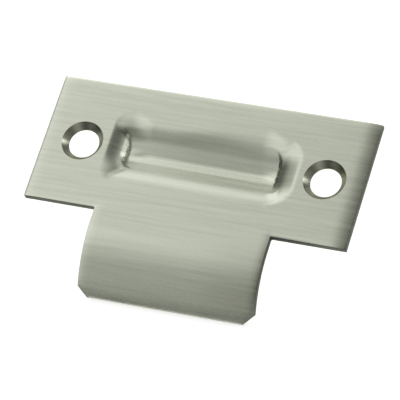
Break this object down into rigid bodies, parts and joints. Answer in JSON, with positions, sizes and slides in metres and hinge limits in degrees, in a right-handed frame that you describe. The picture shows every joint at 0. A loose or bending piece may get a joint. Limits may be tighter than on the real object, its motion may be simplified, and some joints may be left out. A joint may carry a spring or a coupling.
{
  "type": "door strike plate",
  "caption": "Flat T-shaped door strike plate with countersunk screw holes, a pressed trough that catches a roller latch, and a curved lip that guides the latch in.",
  "frame": {"origin": "on the plate's back face, midway between the two screw holes", "axes": "+X along the plate's length, +Y across the plate and away from the lip, +Z out of the front face"},
  "size_m": [0.0698, 0.0461, 0.0075],
  "materials": {
    "satin_nickel": "satin nickel plate, brushed along the plate's length"
  },
  "bodies": {
    "root": {"strike_plate": "satin_nickel"}
  },
  "joints": []
}
